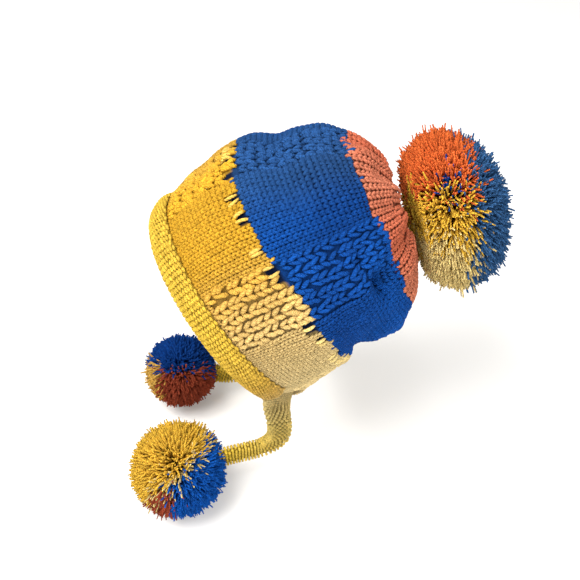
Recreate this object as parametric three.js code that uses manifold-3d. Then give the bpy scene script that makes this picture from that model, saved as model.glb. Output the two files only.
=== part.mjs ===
// Chullo hat: a chunky knitted cap with a rolled brim, two ear flaps that end in ties, and three pompoms.
// Millimetres, +Z up. The forehead is at -Y, the nape at +Y and the wearer's left ear at +X.
// The origin is the middle of the head opening, in the plane of the brim.

import * as THREE from 'three';
import Module from 'manifold-3d';
import { ParametricGeometry } from 'three/addons/geometries/ParametricGeometry.js';
import { mergeVertices } from 'three/addons/utils/BufferGeometryUtils.js';

const wasm = await Module();
wasm.setup();

// Driving sizes of the knitted cap
const CROWN_DEPTH = 172;
const HEAD_HALF_WIDTH = 84;
const HEAD_HALF_LENGTH = 100;
const FABRIC_THICKNESS = 5;
const SEAM_GAP = 0.3;

// Driving sizes of the relief
const RIB_COUNT = 5;
const RIB_DEPTH = 2.4;
const FIRST_LACE_ANGLE = -10;
const LACE_SHARE_OF_RIB = 0.42;
const GATHER_COUNT = 12;
const GATHER_DEPTH = 2.2;
const FOLD_DEPTH = 7;

// Driving sizes of the rolled brim, the flaps and the ties
const ROLL_WIDTH = 21;
const ROLL_THICKNESS = 9;
const FLAP_FRONT_ANGLE = 114;
const FLAP_BACK_ANGLE = 150;
const FLAP_LENGTH = 47;
const TIE_WIDTH = 20;
const TIE_THICKNESS = 9;
const LEFT_TIE_LENGTH = 100;
const RIGHT_TIE_LENGTH = 112;

// Driving sizes of the pompoms
const CROWN_POMPOM_RADIUS = 68;
const CROWN_POMPOM_THICKNESS = 90;
const CROWN_POMPOM_LOCKS = 48;
const CROWN_POMPOM_TILT = 10;
const CROWN_POMPOM_SAG = 16;
const LEFT_POMPOM_RADIUS = 46;
const RIGHT_POMPOM_RADIUS = 38;
const SIDE_POMPOM_LOCKS = 30;

// How finely the surfaces are faceted
const STEPS_AROUND = 60;
const STEPS_DEEP = 22;
const STEPS_ALONG_FLAP = 7;
const STEPS_ALONG_TIE = 16;
const MERGE_DISTANCE = 1e-4;
// Corners are rounded to this grid, whose lines are exact in single and in decimal numbers
const GRID_LINES_PER_MM = 256;

// Cross sections of the cap, from the brim to the crown's end.
// along: share of the way; back and up: the section's middle, shares of the crown depth;
// lean: degrees that the section's plane tips back; side: share of the half width;
// fore and aft: shares of the half length, towards the forehead and towards the nape.
const SECTIONS = [
  { along: 0.0, back: 0.0, up: 0.0, lean: 29, side: 0.93, fore: 1.08, aft: 1.08 },
  { along: 0.12, back: 0.1, up: 0.08, lean: 30, side: 1.04, fore: 1.16, aft: 1.1 },
  { along: 0.28, back: 0.24, up: 0.19, lean: 30, side: 1.13, fore: 1.17, aft: 1.06 },
  { along: 0.46, back: 0.41, up: 0.3, lean: 28, side: 1.16, fore: 1.11, aft: 0.95 },
  { along: 0.62, back: 0.56, up: 0.395, lean: 25, side: 1.12, fore: 0.99, aft: 0.92 },
  { along: 0.76, back: 0.68, up: 0.465, lean: 22, side: 0.98, fore: 0.83, aft: 0.89 },
  { along: 0.88, back: 0.78, up: 0.505, lean: 19, side: 0.72, fore: 0.6, aft: 0.68 },
  { along: 0.96, back: 0.83, up: 0.525, lean: 17, side: 0.38, fore: 0.32, aft: 0.35 },
  { along: 1.0, back: 0.85, up: 0.53, lean: 16, side: 0.0, fore: 0.0, aft: 0.0 },
];

// Folds and dents of the soft cap. around: degrees from the forehead towards the left ear;
// along: share of the way to the crown; turn and reach: half sizes in degrees and as a share of the way;
// depth: share of the fold depth, inwards where it is positive.
const FOLDS = [
  { around: -14, along: 0.56, turn: 34, reach: 0.055, depth: 0.75 },
  { around: -14, along: 0.42, turn: 36, reach: 0.08, depth: -0.35 },
  { around: 158, along: 0.47, turn: 40, reach: 0.075, depth: 1.3 },
  { around: 160, along: 0.68, turn: 40, reach: 0.1, depth: -0.7 },
  { around: 84, along: 0.74, turn: 12, reach: 0.06, depth: 0.9 },
  { around: 72, along: 0.66, turn: 9, reach: 0.08, depth: -0.4 },
  { around: 206, along: 0.5, turn: 16, reach: 0.12, depth: 0.6 },
  { around: 282, along: 0.62, turn: 14, reach: 0.09, depth: 0.7 },
  { around: 310, along: 0.4, turn: 16, reach: 0.1, depth: -0.4 },
];

// Section of the rolled brim. up: share of the roll's width above the cap's edge;
// out: share of the roll's thickness beyond the cap's outer face.
const ROLL_SECTION = [
  { up: -0.26, out: -0.4 },
  { up: -0.44, out: 0.12 },
  { up: -0.44, out: 0.55 },
  { up: -0.24, out: 0.9 },
  { up: 0.06, out: 1.0 },
  { up: 0.34, out: 0.86 },
  { up: 0.52, out: 0.55 },
];
const ROLL_SEAT_UP = 0.56;

// Route of a tie from the flap's tip. forward, outward and down: shares of the tie's length.
// The left tie bends sharply forward, and the right one drops further before it bends.
const LEFT_TIE_ROUTE = [
  { forward: 0.0, outward: 0.0, down: 0.0 },
  { forward: -0.005, outward: -0.005, down: 0.16 },
  { forward: 0.02, outward: -0.01, down: 0.31 },
  { forward: 0.13, outward: 0.0, down: 0.405 },
  { forward: 0.29, outward: 0.02, down: 0.42 },
  { forward: 0.47, outward: 0.04, down: 0.415 },
  { forward: 0.62, outward: 0.06, down: 0.42 },
];
const RIGHT_TIE_ROUTE = [
  { forward: 0.0, outward: 0.0, down: 0.0 },
  { forward: -0.005, outward: -0.04, down: 0.22 },
  { forward: 0.01, outward: -0.08, down: 0.43 },
  { forward: 0.09, outward: -0.11, down: 0.56 },
  { forward: 0.25, outward: -0.12, down: 0.59 },
  { forward: 0.42, outward: -0.12, down: 0.555 },
  { forward: 0.54, outward: -0.12, down: 0.51 },
];

// Place of the flap's tip. side and behind: shares of the head's half width and half length;
// below: share of the flap's length under the brim.
const FLAP_TIP = { side: 0.76, behind: 0.29, below: 0.84 };
const FLAP_THICK_EDGE = 0.75;
const FLAP_THIN_MIDDLE = 0.55;

// Colours of the self-striping yarn
const YELLOW_YARN = { color: 0xe0b440, roughness: 0.95, metalness: 0 };
const CREAM_YARN = { color: 0xd8c88c, roughness: 0.95, metalness: 0 };
const BLUE_YARN = { color: 0x1f4f96, roughness: 0.95, metalness: 0 };
const RUST_YARN = { color: 0xd9753a, roughness: 0.95, metalness: 0 };

const radians = THREE.MathUtils.degToRad;

// A smooth curve through one column of a table, read at a place along its first column
function columnAt(table, column, along) {
  const last = table.length - 1;
  let row = 0;
  while (row < last - 1 && along > table[row + 1].along) row += 1;
  const slopeBetween = (a, b) => (table[b][column] - table[a][column]) / (table[b].along - table[a].along);
  const slopeAt = (i) => {
    if (i === 0) return slopeBetween(0, 1);
    if (i === last) return slopeBetween(last - 1, last);
    const before = table[i].along - table[i - 1].along;
    const after = table[i + 1].along - table[i].along;
    return (slopeBetween(i - 1, i) * after + slopeBetween(i, i + 1) * before) / (before + after);
  };
  const step = table[row + 1].along - table[row].along;
  const t = (along - table[row].along) / step;
  const startWeight = 2 * t ** 3 - 3 * t ** 2 + 1;
  const endWeight = 3 * t ** 2 - 2 * t ** 3;
  const startSlope = (t ** 3 - 2 * t ** 2 + t) * step * slopeAt(row);
  const endSlope = (t ** 3 - t ** 2) * step * slopeAt(row + 1);
  return startWeight * table[row][column] + endWeight * table[row + 1][column] + startSlope + endSlope;
}

// A point of the plain cap, without its relief: an egg-shaped ring that tips back, at its place along the cap
function plainCapPoint(around, along) {
  const at = (column) => columnAt(SECTIONS, column, along);
  const forwardShare = THREE.MathUtils.smoothstep(Math.cos(around), -1, 1);
  const reach = HEAD_HALF_LENGTH * THREE.MathUtils.lerp(at('aft'), at('fore'), forwardShare) * Math.cos(around);
  const lean = radians(at('lean'));
  return new THREE.Vector3(
    HEAD_HALF_WIDTH * at('side') * Math.sin(around),
    CROWN_DEPTH * at('back') - reach * Math.sin(lean),
    CROWN_DEPTH * at('up') + reach * Math.cos(lean),
  );
}

// The direction that the cap's outer face looks in
function outwardAt(around, along) {
  const lean = radians(SECTIONS.at(-1).lean);
  if (along > 0.995) return new THREE.Vector3(0, Math.cos(lean), Math.sin(lean));
  const smallAngle = 1e-3;
  const smallShare = 1e-3;
  const acrossRib = plainCapPoint(around + smallAngle, along).sub(plainCapPoint(around - smallAngle, along));
  const alongRib = plainCapPoint(around, along + smallShare).sub(plainCapPoint(around, along - smallShare));
  return acrossRib.cross(alongRib).normalize();
}

// How far the fabric stands in or out: lace columns lie back, folds are soft dents, and the crown is gathered
function reliefAt(around, along) {
  const degrees = THREE.MathUtils.radToDeg(around);
  const ribPlace = THREE.MathUtils.euclideanModulo((degrees - FIRST_LACE_ANGLE) * RIB_COUNT / 360 + 0.5, 1) - 0.5;
  const laceEdge = LACE_SHARE_OF_RIB / 2;
  const inLace = 1 - THREE.MathUtils.smoothstep(Math.abs(ribPlace), laceEdge * 0.6, laceEdge * 1.4);
  const ribFade = THREE.MathUtils.smoothstep(along, 0.08, 0.2) * (1 - THREE.MathUtils.smoothstep(along, 0.75, 0.9));
  let relief = -RIB_DEPTH * inLace * ribFade;
  for (const fold of FOLDS) {
    const turn = (THREE.MathUtils.euclideanModulo(degrees - fold.around + 180, 360) - 180) / fold.turn;
    const reach = (along - fold.along) / fold.reach;
    relief -= FOLD_DEPTH * fold.depth * Math.exp(-turn * turn - reach * reach);
  }
  const gather = THREE.MathUtils.smoothstep(along, 0.72, 0.88) * (1 - THREE.MathUtils.smoothstep(along, 0.93, 1));
  return relief + GATHER_DEPTH * gather * Math.cos(GATHER_COUNT * around);
}

// A point in the fabric: around the head, along it towards the crown, and out from the fabric's middle
function fabricPoint(around, along, out) {
  const stand = out + reliefAt(around, Math.max(along, 0));
  return plainCapPoint(around, along).addScaledVector(outwardAt(around, Math.max(along, 0)), stand);
}

// A closed body from a surface that wraps on itself or shrinks to a point at its ends
function closedBody(pointAt, stepsU, stepsV) {
  const surface = new ParametricGeometry((u, v, target) => target.copy(pointAt(u, v)), stepsU, stepsV);
  surface.deleteAttribute('normal');
  surface.deleteAttribute('uv');
  const merged = mergeVertices(surface, MERGE_DISTANCE);
  const places = merged.attributes.position.array;
  for (let i = 0; i < places.length; i += 1) {
    places[i] = Math.round(places[i] * GRID_LINES_PER_MM) / GRID_LINES_PER_MM;
  }
  const corners = merged.index.array;
  const kept = [];
  for (let i = 0; i < corners.length; i += 3) {
    const [a, b, c] = [corners[i], corners[i + 1], corners[i + 2]];
    if (a !== b && b !== c && c !== a) kept.push(a, b, c);
  }
  merged.setIndex(kept);
  if (signedVolume(merged) < 0) merged.setIndex(kept.reverse());
  return merged;
}

// The volume inside a closed body, negative where its faces point in
function signedVolume(geometry) {
  const places = geometry.attributes.position;
  const corners = geometry.index.array;
  const [a, b, c] = [new THREE.Vector3(), new THREE.Vector3(), new THREE.Vector3()];
  let volume = 0;
  for (let i = 0; i < corners.length; i += 3) {
    a.fromBufferAttribute(places, corners[i]);
    b.fromBufferAttribute(places, corners[i + 1]);
    c.fromBufferAttribute(places, corners[i + 2]);
    volume += a.dot(b.cross(c)) / 6;
  }
  return volume;
}

// The middle of a section's corners
function middleOf(sectionAt, sectionSteps, place) {
  const middle = new THREE.Vector3();
  for (let corner = 0; corner < sectionSteps; corner += 1) middle.add(sectionAt(place, corner));
  return middle.divideScalar(sectionSteps);
}

// A body along a route: a closed section is carried from start to end, and each end closes on a point
// from which all its corners are seen, which is its middle unless another is given
function carriedSection(sectionAt, sectionSteps, routeSteps, endPointAt) {
  const bodySteps = routeSteps + 2;
  return closedBody((u, v) => {
    const corner = Math.round(u * sectionSteps) % sectionSteps;
    const step = Math.round(v * bodySteps);
    const place = THREE.MathUtils.clamp(step - 1, 0, routeSteps) / routeSteps;
    if (step > 0 && step < bodySteps) return sectionAt(place, corner);
    return endPointAt ? endPointAt(place) : middleOf(sectionAt, sectionSteps, place);
  }, sectionSteps, bodySteps);
}

// The cap: one hollow knitted wall, from the inside of the crown down to the edge and back up outside
function crownBody() {
  const steps = 2 * STEPS_DEEP + 1;
  const halfWall = FABRIC_THICKNESS / 2;
  return closedBody((u, v) => {
    const step = Math.round(v * steps);
    const atCrownEnd = step === 0 || step === steps;
    const turn = atCrownEnd ? 0 : Math.round(u * STEPS_AROUND) % STEPS_AROUND;
    const around = 2 * Math.PI * turn / STEPS_AROUND;
    if (step <= STEPS_DEEP) return fabricPoint(around, 1 - step / STEPS_DEEP, -halfWall);
    return fabricPoint(around, (step - STEPS_DEEP - 1) / STEPS_DEEP, halfWall);
  }, STEPS_AROUND, steps);
}

// The rolled brim's section, as places up the fabric and out from its middle.
// It sits round the cap's edge: a ledge under the edge, and an inner face that lies on the outer face
// and bends where the cap's own facets bend.
function rollCorners() {
  const face = FABRIC_THICKNESS / 2;
  const corners = ROLL_SECTION.map(({ up, out }) => ({ up: up * ROLL_WIDTH, out: face + out * ROLL_THICKNESS }));
  const seatOut = face + SEAM_GAP;
  const seatTop = ROLL_SEAT_UP * ROLL_WIDTH;
  const rowHeight = CROWN_DEPTH / STEPS_DEEP;
  corners.push({ up: seatTop, out: seatOut });
  for (let row = Math.ceil(seatTop / rowHeight) - 1; row > 0; row -= 1) {
    corners.push({ up: row * rowHeight, out: seatOut });
  }
  corners.push({ up: -SEAM_GAP, out: seatOut });
  corners.push({ up: -SEAM_GAP, out: -face });
  return corners;
}

// A length of the rolled brim between two angles from the forehead
function brimRoll(startDegrees, endDegrees) {
  const corners = rollCorners();
  const steps = Math.round((endDegrees - startDegrees) / (360 / STEPS_AROUND));
  const gapDegrees = THREE.MathUtils.radToDeg(SEAM_GAP / HEAD_HALF_WIDTH);
  const pointAt = (place, up, out) => {
    const onFacet = THREE.MathUtils.lerp(startDegrees, endDegrees, place);
    const around = THREE.MathUtils.clamp(onFacet, startDegrees + gapDegrees, endDegrees - gapDegrees);
    return fabricPoint(radians(around), up / CROWN_DEPTH, out);
  };
  const cornerAt = (place, corner) => pointAt(place, corners[corner].up, corners[corner].out);
  const insideLedge = (place) => pointAt(place, -2 * SEAM_GAP, FABRIC_THICKNESS / 2 + 2 * SEAM_GAP);
  return carriedSection(cornerAt, corners.length, steps, insideLedge);
}

// The section of a flap or tie, as places across it and through it, each from -1 to 1.
// The edges of the knitting curl, so the section is thick at its edges and thin in the middle.
const STRAP_CORNERS = 12;
function strapCorner(corner, thinMiddle) {
  const angle = 2 * Math.PI * (corner + 0.5) / STRAP_CORNERS;
  const across = Math.cos(angle);
  const fullness = THREE.MathUtils.lerp(thinMiddle, 1, across * across);
  return { across, through: Math.sign(Math.sin(angle)) * Math.sqrt(Math.abs(Math.sin(angle))) * fullness };
}

// Where the flap's tip is. side is 1 for the wearer's left and -1 for the right.
function flapTip(side) {
  const middle = radians((FLAP_FRONT_ANGLE + FLAP_BACK_ANGLE) / 2);
  const root = plainCapPoint(middle, 0);
  return new THREE.Vector3(
    side * HEAD_HALF_WIDTH * FLAP_TIP.side,
    HEAD_HALF_LENGTH * FLAP_TIP.behind,
    root.z - FLAP_LENGTH * FLAP_TIP.below,
  );
}

// An ear flap: it leaves the cap's edge along a stretch of the brim and narrows down to its tie
function earFlap(side) {
  const gapDegrees = THREE.MathUtils.radToDeg(SEAM_GAP / HEAD_HALF_WIDTH);
  const front = FLAP_FRONT_ANGLE + gapDegrees;
  const back = FLAP_BACK_ANGLE - gapDegrees;
  const face = FABRIC_THICKNESS / 2;
  const edgeOut = face + ROLL_THICKNESS * FLAP_THICK_EDGE;
  const tip = flapTip(side);
  const bottomEdge = tip.clone();
  return carriedSection((place, corner) => {
    const cornerOnSide = side > 0 ? corner : STRAP_CORNERS - 1 - corner;
    const { across, through } = strapCorner(cornerOnSide, FLAP_THIN_MIDDLE);
    const around = radians(THREE.MathUtils.lerp(back, front, (across + 1) / 2));
    const outer = THREE.MathUtils.lerp(face, edgeOut, Math.abs(across) ** 3);
    const out = through > 0 ? outer * through : face * through;
    const edge = -SEAM_GAP / CROWN_DEPTH;
    const top = fabricPoint(around, edge, out);
    const topBelow = fabricPoint(around, edge - FLAP_LENGTH / CROWN_DEPTH, out).sub(top);
    top.x *= side;
    topBelow.x *= side;
    const bottom = bottomEdge.clone();
    bottom.y -= across * TIE_WIDTH / 2;
    bottom.x += side * through * TIE_THICKNESS / 2;
    const ease = THREE.MathUtils.smoothstep(place, 0, 1);
    const fromTop = top.addScaledVector(topBelow, place * 0.5);
    const fromBottom = bottom.add(new THREE.Vector3(0, 0, FLAP_LENGTH * (1 - place) * 0.6));
    return fromTop.lerp(fromBottom, ease);
  }, STRAP_CORNERS, STEPS_ALONG_FLAP);
}

// The smooth route of a tie, from just under the flap's tip
function tieRoute(side, route, length) {
  const start = flapTip(side);
  start.z -= SEAM_GAP;
  const points = route.map(({ forward, outward, down }) => new THREE.Vector3(
    start.x + side * outward * length,
    start.y - forward * length,
    start.z - down * length,
  ));
  return new THREE.CatmullRomCurve3(points, false, 'centripetal');
}

// A tie: the flap's strap carried along its route, with its thin way kept across the head
function tie(side, route, length) {
  const curve = tieRoute(side, route, length);
  return carriedSection((place, corner) => {
    const { across, through } = strapCorner(corner, FLAP_THIN_MIDDLE);
    const along = place === 0 ? new THREE.Vector3(0, 0, -1) : curve.getTangentAt(place);
    const thin = new THREE.Vector3(side, 0, 0);
    thin.addScaledVector(along, -thin.dot(along)).normalize();
    const wide = thin.clone().cross(along).multiplyScalar(side);
    return curve.getPointAt(place)
      .addScaledVector(wide, across * TIE_WIDTH / 2)
      .addScaledVector(thin, through * TIE_THICKNESS / 2);
  }, STRAP_CORNERS, STEPS_ALONG_TIE);
}

// A closed three.js geometry as a solid that can be joined
function solidFrom(geometry) {
  const plain = geometry.clone();
  plain.deleteAttribute('normal');
  plain.deleteAttribute('uv');
  const merged = mergeVertices(plain, MERGE_DISTANCE);
  const vertProperties = new Float32Array(merged.attributes.position.array);
  const triVerts = new Uint32Array(merged.index.array);
  return new wasm.Manifold(new wasm.Mesh({ numProp: 3, vertProperties, triVerts }));
}

// A joined solid as a three.js geometry
function geometryFrom(solid) {
  const { vertProperties, triVerts } = solid.getMesh();
  const geometry = new THREE.BufferGeometry();
  geometry.setAttribute('position', new THREE.BufferAttribute(new Float32Array(vertProperties), 3));
  geometry.setIndex([...triVerts]);
  return geometry;
}

// A pompom: a round core with tapered locks of yarn fused to it, pressed flat where it sits on its seat.
// Its middle is half a thickness from the seat, and its locks stand evenly round it on a golden-angle spiral.
const GOLDEN_ANGLE = Math.PI * (3 - Math.sqrt(5));
const CORE_SHARE = 0.8;
const CORE_DETAIL = 1;
const LOCK_SIDES = 4;
const LOCK_ROOT_SHARE = 0.26;
const LOCK_TIP_SHARE = 0.13;
const LOCK_ROOT_DEPTH = 0.5;
const SEAT_SHARE = 0.7;
const LOWEST_LOCK = -0.62;
function pompom(seat, axis, radius, thickness, lockCount) {
  const halfThickness = thickness / 2;
  const seatDistance = SEAT_SHARE * halfThickness;
  const core = new THREE.IcosahedronGeometry(1, CORE_DETAIL);
  core.scale(CORE_SHARE * radius, CORE_SHARE * radius, CORE_SHARE * halfThickness);
  const places = core.attributes.position;
  const coreSeat = -seatDistance;
  for (let i = 0; i < places.count; i += 1) {
    const height = places.getZ(i);
    const spread = Math.hypot(places.getX(i), places.getY(i)) / (CORE_SHARE * radius);
    if (height < 0 && spread < 0.75) places.setZ(i, coreSeat);
  }
  let solid = solidFrom(core);
  for (let lock = 0; lock < lockCount; lock += 1) {
    const height = THREE.MathUtils.lerp(1, LOWEST_LOCK, (lock + 0.5) / lockCount);
    const turn = GOLDEN_ANGLE * lock;
    const level = Math.sqrt(1 - height * height);
    const reach = 1 + 0.05 * Math.sin(2.3 * lock);
    const end = new THREE.Vector3(level * Math.cos(turn), level * Math.sin(turn), height);
    end.multiply(new THREE.Vector3(radius, radius, halfThickness)).multiplyScalar(reach);
    end.z = Math.max(end.z, coreSeat + LOCK_ROOT_SHARE * radius);
    const root = end.clone().multiplyScalar(LOCK_ROOT_DEPTH);
    const length = end.distanceTo(root);
    const strand = new THREE.CylinderGeometry(
      LOCK_TIP_SHARE * radius, LOCK_ROOT_SHARE * radius, length, LOCK_SIDES, 1);
    strand.rotateX(Math.PI / 2);
    const aim = new THREE.Matrix4().lookAt(end, root, new THREE.Vector3(0.31, 0.52, 0.8));
    strand.applyMatrix4(aim);
    const middle = end.clone().add(root).multiplyScalar(0.5);
    strand.translate(middle.x, middle.y, middle.z);
    solid = solid.add(solidFrom(strand));
  }
  const geometry = geometryFrom(solid);
  const turnToAxis = new THREE.Quaternion().setFromUnitVectors(new THREE.Vector3(0, 0, 1), axis);
  geometry.applyQuaternion(turnToAxis);
  const middle = seat.clone().addScaledVector(axis, seatDistance);
  geometry.translate(middle.x, middle.y, middle.z);
  return geometry;
}

// The crown's pompom faces back and a little up. Its seat is the plane that just clears the crown there,
// and its own weight lets it sag along that plane.
function crownPompom(capGeometry) {
  const tilt = radians(CROWN_POMPOM_TILT);
  const axis = new THREE.Vector3(0, Math.cos(tilt), Math.sin(tilt));
  const places = capGeometry.attributes.position;
  const corner = new THREE.Vector3();
  let furthest = -Infinity;
  for (let i = 0; i < places.count; i += 1) {
    furthest = Math.max(furthest, corner.fromBufferAttribute(places, i).dot(axis));
  }
  const seat = plainCapPoint(0, 1);
  seat.addScaledVector(axis, furthest + SEAM_GAP - seat.dot(axis));
  seat.y += CROWN_POMPOM_SAG * Math.sin(tilt);
  seat.z -= CROWN_POMPOM_SAG * Math.cos(tilt);
  return pompom(seat, axis, CROWN_POMPOM_RADIUS, CROWN_POMPOM_THICKNESS, CROWN_POMPOM_LOCKS);
}

// A side pompom sits on the end of its tie
function sidePompom(side, route, length, radius) {
  const curve = tieRoute(side, route, length);
  const axis = curve.getTangentAt(1);
  const seat = curve.getPointAt(1).addScaledVector(axis, SEAM_GAP);
  return pompom(seat, axis, radius, 2 * radius, SIDE_POMPOM_LOCKS);
}

function namedMesh(name, geometry, finish) {
  const mesh = new THREE.Mesh(geometry, new THREE.MeshStandardMaterial(finish));
  mesh.name = name;
  return mesh;
}

const capGeometry = crownBody();
const hat = new THREE.Group();
hat.add(namedMesh('crown_body', capGeometry, BLUE_YARN));
hat.add(namedMesh('rim_roll_front', brimRoll(-FLAP_FRONT_ANGLE, FLAP_FRONT_ANGLE), YELLOW_YARN));
hat.add(namedMesh('rim_roll_back', brimRoll(FLAP_BACK_ANGLE, 360 - FLAP_BACK_ANGLE), CREAM_YARN));
hat.add(namedMesh('ear_flap_left', earFlap(1), CREAM_YARN));
hat.add(namedMesh('ear_flap_right', earFlap(-1), CREAM_YARN));
hat.add(namedMesh('tie_left', tie(1, LEFT_TIE_ROUTE, LEFT_TIE_LENGTH), YELLOW_YARN));
hat.add(namedMesh('tie_right', tie(-1, RIGHT_TIE_ROUTE, RIGHT_TIE_LENGTH), YELLOW_YARN));
hat.add(namedMesh('pompom_crown', crownPompom(capGeometry), RUST_YARN));
const leftPompom = sidePompom(1, LEFT_TIE_ROUTE, LEFT_TIE_LENGTH, LEFT_POMPOM_RADIUS);
hat.add(namedMesh('pompom_left', leftPompom, YELLOW_YARN));
const rightPompom = sidePompom(-1, RIGHT_TIE_ROUTE, RIGHT_TIE_LENGTH, RIGHT_POMPOM_RADIUS);
hat.add(namedMesh('pompom_right', rightPompom, BLUE_YARN));

export default hat;
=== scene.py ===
"""Looks of the chullo hat: every stitch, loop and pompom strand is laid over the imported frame.

Knitting is worked out in millimetres on surfaces with two shares, around and along, and turned to metres
when a mesh is made. The forehead is at -Y, the crown's pompom at +Y and the wearer's left ear at +X.
"""

import math

import bpy
import numpy as np
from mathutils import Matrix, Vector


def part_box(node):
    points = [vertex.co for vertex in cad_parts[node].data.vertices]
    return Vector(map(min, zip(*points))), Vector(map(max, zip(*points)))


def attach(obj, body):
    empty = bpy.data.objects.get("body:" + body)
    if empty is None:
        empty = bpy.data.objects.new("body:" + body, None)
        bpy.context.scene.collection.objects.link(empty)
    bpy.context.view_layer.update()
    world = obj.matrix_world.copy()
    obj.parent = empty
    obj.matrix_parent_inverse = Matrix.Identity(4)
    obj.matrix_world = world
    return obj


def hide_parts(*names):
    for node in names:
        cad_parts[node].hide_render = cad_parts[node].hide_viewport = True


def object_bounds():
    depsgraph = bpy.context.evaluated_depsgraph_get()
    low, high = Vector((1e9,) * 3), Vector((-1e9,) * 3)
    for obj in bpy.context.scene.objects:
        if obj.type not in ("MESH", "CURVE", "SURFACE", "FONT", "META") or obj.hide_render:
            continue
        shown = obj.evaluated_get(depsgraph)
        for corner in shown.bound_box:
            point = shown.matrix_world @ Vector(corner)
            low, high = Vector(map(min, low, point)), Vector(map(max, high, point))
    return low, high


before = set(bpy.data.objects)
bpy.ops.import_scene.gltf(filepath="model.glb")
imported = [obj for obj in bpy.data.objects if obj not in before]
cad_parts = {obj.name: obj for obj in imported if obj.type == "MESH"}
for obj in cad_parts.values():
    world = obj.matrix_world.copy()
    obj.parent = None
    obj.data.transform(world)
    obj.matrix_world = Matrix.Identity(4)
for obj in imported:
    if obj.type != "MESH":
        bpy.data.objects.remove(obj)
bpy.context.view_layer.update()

MM = 0.001
SEED = 20
TURN = 2 * math.pi

# Sizes of the cap, as in the frame
CROWN_DEPTH = 172.0
HEAD_HALF_WIDTH = 84.0
HEAD_HALF_LENGTH = 100.0
FABRIC_THICKNESS = 5.0
RIB_COUNT = 5
RIB_DEPTH = 2.4
FIRST_LACE_ANGLE = -10.0
LACE_SHARE_OF_RIB = 0.42
GATHER_COUNT = 12
GATHER_DEPTH = 2.2
FOLD_DEPTH = 7.0
ROLL_WIDTH = 21.0
ROLL_THICKNESS = 9.0
FLAP_FRONT_ANGLE = 114.0
FLAP_BACK_ANGLE = 150.0
FLAP_LENGTH = 47.0
TIE_WIDTH = 20.0
TIE_THICKNESS = 9.0
LEFT_TIE_LENGTH = 100.0
RIGHT_TIE_LENGTH = 112.0

# Cross sections of the cap: along, back, up, lean, side, fore, aft, as in the frame's table
SECTIONS = np.array([
    (0.00, 0.00, 0.000, 29, 0.93, 1.08, 1.08),
    (0.12, 0.10, 0.080, 30, 1.04, 1.16, 1.10),
    (0.28, 0.24, 0.190, 30, 1.13, 1.17, 1.06),
    (0.46, 0.41, 0.300, 28, 1.16, 1.11, 0.95),
    (0.62, 0.56, 0.395, 25, 1.12, 0.99, 0.92),
    (0.76, 0.68, 0.465, 22, 0.98, 0.83, 0.89),
    (0.88, 0.78, 0.505, 19, 0.72, 0.60, 0.68),
    (0.96, 0.83, 0.525, 17, 0.38, 0.32, 0.35),
    (1.00, 0.85, 0.530, 16, 0.00, 0.00, 0.00),
])

# Folds of the soft cap: around, along, turn, reach, depth, as in the frame's table
FOLDS = [
    (-14, 0.56, 34, 0.055, 0.75),
    (-14, 0.42, 36, 0.080, -0.35),
    (158, 0.47, 40, 0.075, 1.30),
    (160, 0.68, 40, 0.100, -0.70),
    (84, 0.74, 12, 0.060, 0.90),
    (72, 0.66, 9, 0.080, -0.40),
    (206, 0.50, 16, 0.120, 0.60),
    (282, 0.62, 14, 0.090, 0.70),
    (310, 0.40, 16, 0.100, -0.40),
]

# Sharper creases of the cloth over those folds, in the same columns
CREASES = [
    (84, 0.725, 8, 0.030, 1.10),
    (66, 0.690, 6, 0.030, 0.60),
    (136, 0.500, 30, 0.070, 0.80),
    (104, 0.600, 7, 0.090, 0.55),
    (44, 0.640, 7, 0.070, 0.50),
    (20, 0.560, 8, 0.080, 0.45),
    (120, 0.300, 9, 0.090, 0.40),
]

# Section of the rolled brim above the cap's edge and beyond its outer face, closed under the cap's edge
ROLL_SECTION = [(-0.26, -0.40), (-0.44, 0.12), (-0.44, 0.55), (-0.24, 0.90),
                (0.06, 1.00), (0.34, 0.86), (0.52, 0.55), (0.56, 0.05)]

# Routes of the ties from the flap's tip: forward, outward and down, as shares of the tie's length
LEFT_TIE_ROUTE = [(0.0, 0.0, 0.0), (-0.005, -0.005, 0.16), (0.02, -0.01, 0.31), (0.13, 0.0, 0.405),
                  (0.29, 0.02, 0.42), (0.47, 0.04, 0.415), (0.62, 0.06, 0.42)]
RIGHT_TIE_ROUTE = [(0.0, 0.0, 0.0), (-0.005, -0.04, 0.22), (0.01, -0.08, 0.43), (0.09, -0.11, 0.56),
                   (0.25, -0.12, 0.59), (0.42, -0.12, 0.555), (0.54, -0.12, 0.51)]
FLAP_TIP_SIDE = 0.76
FLAP_TIP_BEHIND = 0.29
FLAP_TIP_BELOW = 0.84

# The knitting: how far its relief passes the frame's, its wales and rows, and its yarn
SOFT_SHARE = 1.45
WALES_PER_RIB = 27
WALES = WALES_PER_RIB * RIB_COUNT
ROW_HEIGHT = 3.9
YARN_RADIUS = 1.42
STITCH_SIDES = 5
STITCH_LIFT = 1.9
LACE_PAIRS = 5
LACE_LOOP_HEIGHT = 1.75 * ROW_HEIGHT
LOOP_SIDES = 6
INSIDE_WALES = 75
INSIDE_ROWS = 25

# Shares along the cap where its grid and its lace start, and where its bands and its rows end
CAP_FIRST_ALONG = -0.1
LACE_STARTS = 0.07
YELLOW_ENDS = 0.405
BLUE_ENDS = 0.805
HALF_WALES_END = 0.9
LAST_ROW_SHARE = 0.95

# The row of gaps under the blue band: how many, how wide as a share of their spacing, and their ends
HOLE_COUNT = 29
HOLE_SHARE = 0.44
HOLE_TOP = 0.002
HOLE_FOOT = -0.048

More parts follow.
